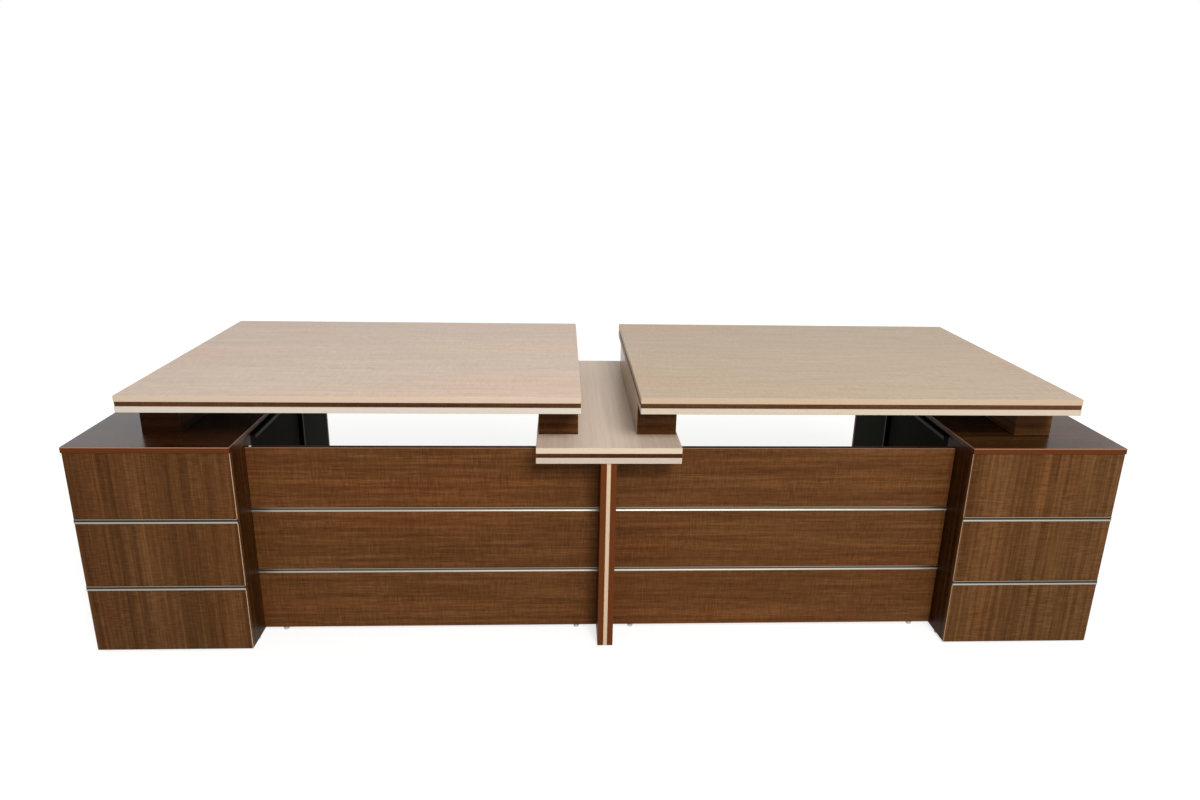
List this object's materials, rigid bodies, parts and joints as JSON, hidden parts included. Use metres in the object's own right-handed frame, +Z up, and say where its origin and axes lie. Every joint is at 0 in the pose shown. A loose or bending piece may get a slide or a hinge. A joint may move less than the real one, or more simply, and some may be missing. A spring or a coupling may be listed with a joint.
{
  "type": "executive desk",
  "caption": "Executive desk with mirrored light layered tops on dark riser blocks, over a centre shelf on a slab leg and end cabinets with drawers, doors and aluminium trim strips.",
  "frame": {"origin": "on the floor, under the centre of the desk's overall box", "axes": "+X along the desk to the right as seen by a visitor, +Y from the visitor side to the users' side, +Z up"},
  "size_m": [2.8, 0.918, 0.75],
  "materials": {
    "top_laminate": "satin light wood laminate, grain along the desk",
    "insert_laminate": "matte dark brown board",
    "shelf_laminate": "satin light wood laminate, grain front to back",
    "leg_laminate": "satin dark walnut laminate",
    "leg_core_laminate": "satin light wood laminate",
    "riser_laminate": "satin dark walnut laminate, level grain",
    "modesty_laminate": "satin dark walnut laminate, level grain",
    "cabinet_laminate": "satin dark walnut laminate, upright grain",
    "slab_laminate": "glossy dark walnut laminate",
    "graphite_laminate": "matte graphite laminate",
    "aluminium_trim": "satin anodised extrusion",
    "pull_black": "black anodised extrusion",
    "tray_steel": "powder-coated grey sheet",
    "runner_steel": "zinc-plated sheet",
    "pivot_steel": "zinc-plated",
    "glide_plastic": "moulded pale plastic"
  },
  "bodies": {
    "desk": {"top_left": "top_laminate", "top_base_left": "top_laminate", "top_right": "top_laminate", "top_base_right": "top_laminate", "top_insert_left": "insert_laminate", "top_insert_right": "insert_laminate", "shelf_insert": "insert_laminate", "shelf_upper": "shelf_laminate", "shelf_lower": "shelf_laminate", "leg_left": "leg_laminate", "leg_right": "leg_laminate", "leg_core": "leg_core_laminate", "centre_riser_left": "riser_laminate", "centre_riser_right": "riser_laminate", "side_riser_left": "riser_laminate", "side_riser_right": "riser_laminate", "modesty_left": "modesty_laminate", "modesty_right": "modesty_laminate", "modesty_strips": "aluminium_trim", "cabinet_strips": "aluminium_trim", "slab_left": "slab_laminate", "front_panel_left": "cabinet_laminate", "side_panel_left": "cabinet_laminate", "end_panel_left": "cabinet_laminate", "bottom_left": "cabinet_laminate", "dividers_left": "cabinet_laminate", "stile_left": "cabinet_laminate", "runners_left": "runner_steel", "slab_right": "slab_laminate", "front_panel_right": "cabinet_laminate", "side_panel_right": "cabinet_laminate", "end_panel_right": "cabinet_laminate", "bottom_right": "cabinet_laminate", "dividers_right": "cabinet_laminate", "stile_right": "cabinet_laminate", "runners_right": "runner_steel", "door_pivots": "pivot_steel", "glides": "glide_plastic"},
    "drawer_left_1": {"drawer_front_left_1": "graphite_laminate", "drawer_tray_left_1": "tray_steel", "drawer_pull_left_1": "pull_black"},
    "drawer_left_2": {"drawer_front_left_2": "graphite_laminate", "drawer_tray_left_2": "tray_steel", "drawer_pull_left_2": "pull_black"},
    "drawer_left_3": {"drawer_front_left_3": "graphite_laminate", "drawer_tray_left_3": "tray_steel", "drawer_pull_left_3": "pull_black"},
    "door_body_left": {"door_left": "graphite_laminate", "door_pull_left": "pull_black"},
    "drawer_right_1": {"drawer_front_right_1": "graphite_laminate", "drawer_tray_right_1": "tray_steel", "drawer_pull_right_1": "pull_black"},
    "drawer_right_2": {"drawer_front_right_2": "graphite_laminate", "drawer_tray_right_2": "tray_steel", "drawer_pull_right_2": "pull_black"},
    "drawer_right_3": {"drawer_front_right_3": "graphite_laminate", "drawer_tray_right_3": "tray_steel", "drawer_pull_right_3": "pull_black"},
    "door_body_right": {"door_right": "graphite_laminate", "door_pull_right": "pull_black"}
  },
  "joints": [
    {"name": "drawer_left_1_slide", "type": "slide", "parent": "desk", "child": "drawer_left_1", "axis": [1, 0, 0], "range_m": [0, 0.29]},
    {"name": "drawer_left_2_slide", "type": "slide", "parent": "desk", "child": "drawer_left_2", "axis": [1, 0, 0], "range_m": [0, 0.29]},
    {"name": "drawer_left_3_slide", "type": "slide", "parent": "desk", "child": "drawer_left_3", "axis": [1, 0, 0], "range_m": [0, 0.29]},
    {"name": "door_left_hinge", "type": "hinge", "parent": "desk", "child": "door_body_left", "pos_m": [-0.986, 0.43, 0.022], "axis": [0, 0, 1], "range_deg": [0, 100]},
    {"name": "drawer_right_1_slide", "type": "slide", "parent": "desk", "child": "drawer_right_1", "axis": [-1, 0, 0], "range_m": [0, 0.29]},
    {"name": "drawer_right_2_slide", "type": "slide", "parent": "desk", "child": "drawer_right_2", "axis": [-1, 0, 0], "range_m": [0, 0.29]},
    {"name": "drawer_right_3_slide", "type": "slide", "parent": "desk", "child": "drawer_right_3", "axis": [-1, 0, 0], "range_m": [0, 0.29]},
    {"name": "door_right_hinge", "type": "hinge", "parent": "desk", "child": "door_body_right", "pos_m": [0.986, 0.43, 0.022], "axis": [0, 0, -1], "range_deg": [0, 100]}
  ]
}
